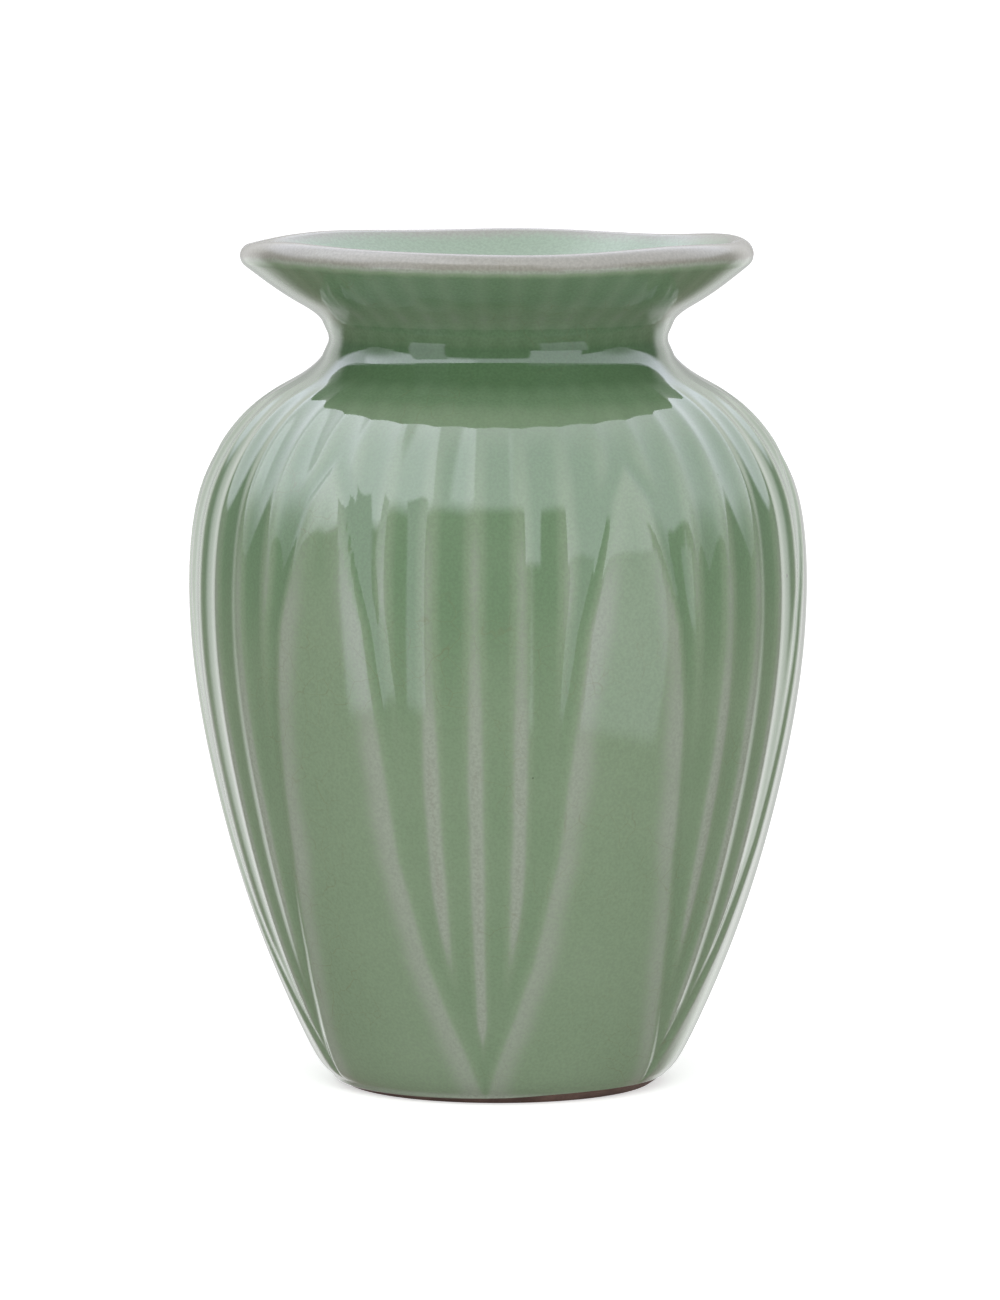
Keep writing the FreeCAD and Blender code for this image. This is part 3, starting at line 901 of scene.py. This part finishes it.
class VASE_OT_base_glaze(bpy.types.Operator):
    """The coat of glaze in the recess under the foot"""
    bl_idname = "vase.base_glaze"
    bl_label = "Base Glaze"

    def execute(self, context):
        shape = form()
        s = shape.s
        wall = s.foot_radius - s.foot_ring_width - s.recess_flare - FOOT_ROUND
        reach = np.linspace(0.03, 1.0, BASE_ROWS)
        sag = shape.g.base * np.sqrt(1.0 - reach ** 12)
        flat = np.zeros_like(reach)
        lower = np.column_stack([wall * reach, s.recess_depth - sag, flat, flat - 1.0])
        upper = np.column_stack([wall * reach, s.recess_depth + flat, flat, flat + 1.0])
        grid = shape.grid(np.vstack([lower, upper[-2::-1]]), columns=BASE_COLUMNS)
        mesh = skin_mesh("base_glaze_coat", grid, facing(grid),
                         caps=(s.recess_depth - shape.g.base, s.recess_depth))
        store(mesh, "glaze_depth_and_shade", np.full(len(mesh.vertices), BASE_LOOK))
        add_piece("base_glaze_coat", mesh, celadon("celadon_base"), "celadon_inside",
                  "base_glaze")
        return {"FINISHED"}


class VASE_OT_studio(bpy.types.Operator):
    """The pale floor, the white surround, the front windows and the camera"""
    bl_idname = "vase.studio"
    bl_label = "Studio"

    def execute(self, context):
        studio = context.scene.vase_studio
        self.floor(studio)
        self.surround(context.scene, studio)
        self.lamps(studio)
        self.camera(context.scene, studio)
        context.scene.view_settings.view_transform = "Standard"
        return {"FINISHED"}

    def floor(self, studio):
        """A pale floor that ends a little way in front of the vase, out of the camera's view."""
        size, front = studio.floor_size, -studio.floor_front
        corners = [(-size, front), (size, front), (size, size), (-size, size)]
        turn = studio.camera_turn
        mesh = bpy.data.meshes.new("studio_floor")
        mesh.from_pydata([(x * math.cos(turn) - y * math.sin(turn),
                           x * math.sin(turn) + y * math.cos(turn), 0.0)
                          for x, y in corners], [], [(0, 1, 2, 3)])
        floor = add_object("studio_floor", mesh)
        material, nodes, shader = new_material("pale_floor")
        grain = nodes.noise(nodes.place(), 3.0)
        pale = tuple(studio.floor_colour)
        nodes.link(nodes.mix(nodes.maths("MULTIPLY", grain, 0.1), pale,
                             tuple(0.97 * x for x in pale)), shader.inputs["Base Color"])
        shader.inputs["Roughness"].default_value = 0.9
        shader.inputs["Specular IOR Level"].default_value = 0.2
        shader.inputs["Emission Color"].default_value = (1.0, 1.0, 1.0, 1.0)
        seen = nodes.add("ShaderNodeLightPath").outputs["Is Camera Ray"]
        nodes.link(nodes.ease(seen, 0.0, 1.0, studio.floor_glow, studio.floor_white),
                   shader.inputs["Emission Strength"])
        mesh.materials.append(material)
        floor.visible_glossy = False

    def surround(self, scene, studio):
        """A white surround, with a dim room in front that has a bright ceiling and windows."""
        world = bpy.data.worlds.new("white_surround")
        world.use_nodes = True
        n = Nodes(world.node_tree)
        ground = world.node_tree.nodes["Background"]
        x, y, up = n.parts("ShaderNodeSeparateXYZ",
                           n.add("ShaderNodeTexCoord").outputs["Generated"])
        turn = studio.camera_turn
        ahead = n.maths("ADD", n.maths("MULTIPLY", x, math.sin(turn)),
                        n.maths("MULTIPLY", y, -math.cos(turn)))
        side = n.maths("ADD", n.maths("MULTIPLY", x, math.cos(turn)),
                       n.maths("MULTIPLY", y, math.sin(turn)))
        azimuth = n.maths("ARCTAN2", side, ahead)
        overhead = n.maths("ARCTAN2", up, ahead)
        rise = n.maths("ARCSINE", up)
        dim = n.mix(n.ease(up, -0.25, 0.1), studio.room_low, (studio.room,) * 3)
        back = n.ease(ahead, -0.98, -0.88, studio.far_behind, studio.behind)
        seen_back = n.maths("MULTIPLY", n.ease(ahead, -0.75, -0.61, 1.0, 0.0),
                            n.ease(up, -0.52, -0.26))
        room = n.mix(seen_back, dim, back)
        for bright, across, along, left, right, low, high, soft in ROOM_PANELS:
            where = grouped(n, sky_panel(), Across=(azimuth, side)[across],
                            Along=(rise, overhead)[along],
                            Left=left, Right=right, Low=low, High=high, Soft=soft)["Mask"]
            room = n.mix(where, room, [studio.window * bright * x for x in studio.window_colour])
        path = n.add("ShaderNodeLightPath")
        plain = n.mix(path.outputs["Is Camera Ray"], (studio.ambient,) * 3, (studio.sky,) * 3)
        n.link(n.mix(path.outputs["Is Glossy Ray"], plain, room), ground.inputs["Color"])
        scene.world = world

    def lamps(self, studio):
        """Soft lights a little over the camera, to its left and its right."""
        for name, side in (("soft_left", -LAMP_SIDE), ("soft_right", LAMP_SIDE)):
            turn, rise = side + studio.camera_turn, LAMP_RISE
            light = bpy.data.lights.new(name, "AREA")
            light.size = LAMP_SIZE
            light.energy = studio.lamp
            lamp = add_object(name, light)
            direction = np.array([math.sin(turn) * math.cos(rise),
                                  -math.cos(turn) * math.cos(rise), math.sin(rise)])
            lamp.location = np.array(LAMPS_MEET) + LAMP_DISTANCE * direction
            lamp.rotation_euler = (math.pi / 2 - rise, 0.0, turn)
            lamp.visible_glossy = False

    def camera(self, scene, studio):
        lens = bpy.data.cameras.new("camera")
        lens.lens = studio.lens
        lens.shift_x = studio.shift
        lens.clip_end = 100.0
        camera = add_object("camera", lens)
        turn = studio.camera_turn
        camera.location = (studio.camera_distance * math.sin(turn),
                           -studio.camera_distance * math.cos(turn), studio.camera_height)
        camera.rotation_euler = (math.pi / 2 - studio.camera_tilt, 0.0, turn)
        scene.camera = camera


class VASE_PT_pieces(bpy.types.Panel):
    """Makes the vase piece by piece"""
    bl_label = "Carved Vase"
    bl_idname = "VASE_PT_pieces"
    bl_space_type = "VIEW_3D"
    bl_region_type = "UI"
    bl_category = "Vase"

    def draw(self, context):
        for operator in PIECES:
            self.layout.operator(operator.bl_idname)
        for holder in GROUPS:
            box = self.layout.box()
            group = getattr(context.scene, holder)
            for name in group.bl_rna.properties.keys():
                if name not in ("rna_type", "name"):
                    box.prop(group, name)


GROUPS = {"vase_sizes": VaseSizes, "vase_carving": CarvingSizes, "vase_glaze": GlazeCoat,
          "vase_clay": BareClay, "vase_studio": StudioSetup}
PIECES = (VASE_OT_stoneware, VASE_OT_outer_glaze, VASE_OT_inner_glaze, VASE_OT_base_glaze,
          VASE_OT_studio)


def register():
    for made in (*GROUPS.values(), *PIECES, VASE_PT_pieces):
        bpy.utils.register_class(made)
    for holder, group in GROUPS.items():
        setattr(bpy.types.Scene, holder, bpy.props.PointerProperty(type=group))


def unregister():
    for holder in GROUPS:
        delattr(bpy.types.Scene, holder)
    for made in (VASE_PT_pieces, *reversed(PIECES), *reversed(GROUPS.values())):
        bpy.utils.unregister_class(made)


def main():
    register()
    bpy.ops.vase.stoneware()
    bpy.ops.vase.outer_glaze()
    bpy.ops.vase.inner_glaze()
    bpy.ops.vase.base_glaze()
    bpy.ops.vase.studio()


if __name__ == "__main__":
    main()
